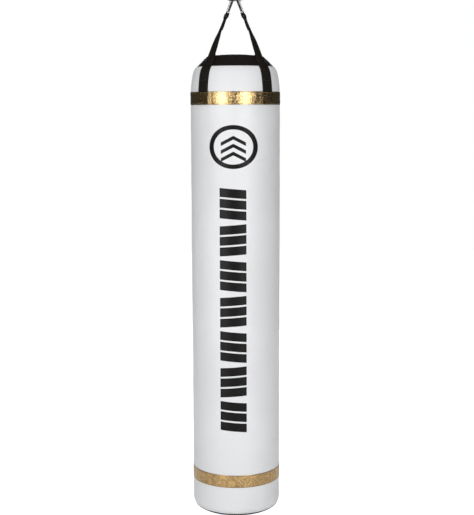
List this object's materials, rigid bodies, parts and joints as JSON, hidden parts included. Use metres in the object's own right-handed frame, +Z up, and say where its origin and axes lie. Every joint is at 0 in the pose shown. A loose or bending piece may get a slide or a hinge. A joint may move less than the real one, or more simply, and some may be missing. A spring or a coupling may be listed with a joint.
{
  "type": "hanging heavy bag",
  "caption": "Tall round stuffed vinyl heavy bag hung by webbing straps and snap hooks from a D-ring and swivel, with sewn bands, a zip top and a floor anchor ring.",
  "frame": {"origin": "underside of the top of the swivel's upper eye, where the ceiling hook carries it", "axes": "+Z up along the bag's axis, -Y towards the printed front, +X to the right seen from the front"},
  "size_m": [0.3632, 0.3632, 2.2388],
  "materials": {
    "white_vinyl": "satin",
    "black_vinyl": "satin",
    "gold_foil": "gloss",
    "gold_satin": "satin",
    "black_webbing": "matte",
    "hook_chrome": "polished",
    "ring_zinc": "satin",
    "swivel_steel": "satin",
    "zip_tape": "matte",
    "zip_metal": "satin",
    "foam": "matte",
    "textile_fill": "matte",
    "sand_sack": "matte",
    "print_black": "satin",
    "thread": "matte",
    "gold_thread": "matte"
  },
  "bodies": {
    "swivel_top": {"swivel_cage": "swivel_steel"},
    "swivel_bottom": {"swivel_stem": "swivel_steel", "swivel_nut": "swivel_steel", "swivel_washer": "swivel_steel"},
    "hang_ring": {"hang_ring": "ring_zinc"},
    "bag": {"shoulder_panel": "white_vinyl", "main_panel": "white_vinyl", "lower_panel": "white_vinyl", "bottom_panel": "black_vinyl", "bottom_piping": "black_vinyl", "collar": "black_vinyl", "top_lid": "black_vinyl", "upper_gold_band": "gold_foil", "lower_gold_band": "gold_satin", "zip_tape": "zip_tape", "foam_liner": "foam", "textile_fill": "textile_fill", "fill_plug": "textile_fill", "anchor_tab": "black_webbing", "hook_fl": "hook_chrome", "rivet_fl": "hook_chrome", "strap_fl": "black_webbing", "hook_fr": "hook_chrome", "rivet_fr": "hook_chrome", "strap_fr": "black_webbing", "hook_bl": "hook_chrome", "rivet_bl": "hook_chrome", "strap_bl": "black_webbing", "hook_br": "hook_chrome", "rivet_br": "hook_chrome", "strap_br": "black_webbing", "sand_bag_1": "sand_sack", "sand_bag_2": "sand_sack", "sand_bag_3": "sand_sack", "sand_bag_4": "sand_sack"},
    "zip_slider": {"zip_slider": "zip_metal"},
    "zip_pull": {"zip_pull": "zip_metal"},
    "anchor_ring": {"anchor_ring": "ring_zinc"},
    "gate_fl": {"gate_fl": "hook_chrome"},
    "gate_fr": {"gate_fr": "hook_chrome"},
    "gate_bl": {"gate_bl": "hook_chrome"},
    "gate_br": {"gate_br": "hook_chrome"}
  },
  "joints": [
    {"name": "swivel_spin", "type": "hinge", "parent": "swivel_top", "child": "swivel_bottom", "pos_m": [0, 0, -0.0595], "axis": [0, 0, 1], "continuous": true},
    {"name": "ring_swing", "type": "hinge", "parent": "swivel_bottom", "child": "hang_ring", "pos_m": [0, 0, -0.0868], "axis": [0, 1, 0], "range_deg": [-40, 40]},
    {"name": "bag_sway", "type": "hinge", "parent": "hang_ring", "child": "bag", "pos_m": [0, 0, -0.1157], "axis": [1, 0, 0], "range_deg": [-40, 40]},
    {"name": "zip_slide", "type": "slide", "parent": "bag", "child": "zip_slider", "axis": [-1, 0, 0], "range_m": [0, 0.14]},
    {"name": "pull_lift", "type": "hinge", "parent": "zip_slider", "child": "zip_pull", "pos_m": [0.068, 0, -0.332], "axis": [0, 1, 0], "range_deg": [0, 150]},
    {"name": "anchor_swing", "type": "hinge", "parent": "bag", "child": "anchor_ring", "pos_m": [0, 0, -2.1918], "axis": [0, 1, 0], "range_deg": [-80, 80]},
    {"name": "gate_fl_open", "type": "hinge", "parent": "bag", "child": "gate_fl", "pos_m": [-0.02192, -0.03347, -0.15173], "axis": [-0.9284, 0, 0.3715], "range_deg": [0, 22], "stiffness_Nm_per_rad": 0.2, "springref_deg": -5.73},
    {"name": "gate_fr_open", "type": "hinge", "parent": "bag", "child": "gate_fr", "pos_m": [0.02192, -0.03347, -0.15173], "axis": [-0.9284, 0, -0.3715], "range_deg": [0, 22], "stiffness_Nm_per_rad": 0.2, "springref_deg": -5.73},
    {"name": "gate_bl_open", "type": "hinge", "parent": "bag", "child": "gate_bl", "pos_m": [-0.02877, 0.0336, -0.15197], "axis": [0.9375, 0, -0.3481], "range_deg": [0, 22], "stiffness_Nm_per_rad": 0.2, "springref_deg": -5.73},
    {"name": "gate_br_open", "type": "hinge", "parent": "bag", "child": "gate_br", "pos_m": [0.02877, 0.0336, -0.15197], "axis": [0.9375, 0, 0.3481], "range_deg": [0, 22], "stiffness_Nm_per_rad": 0.2, "springref_deg": -5.73}
  ]
}
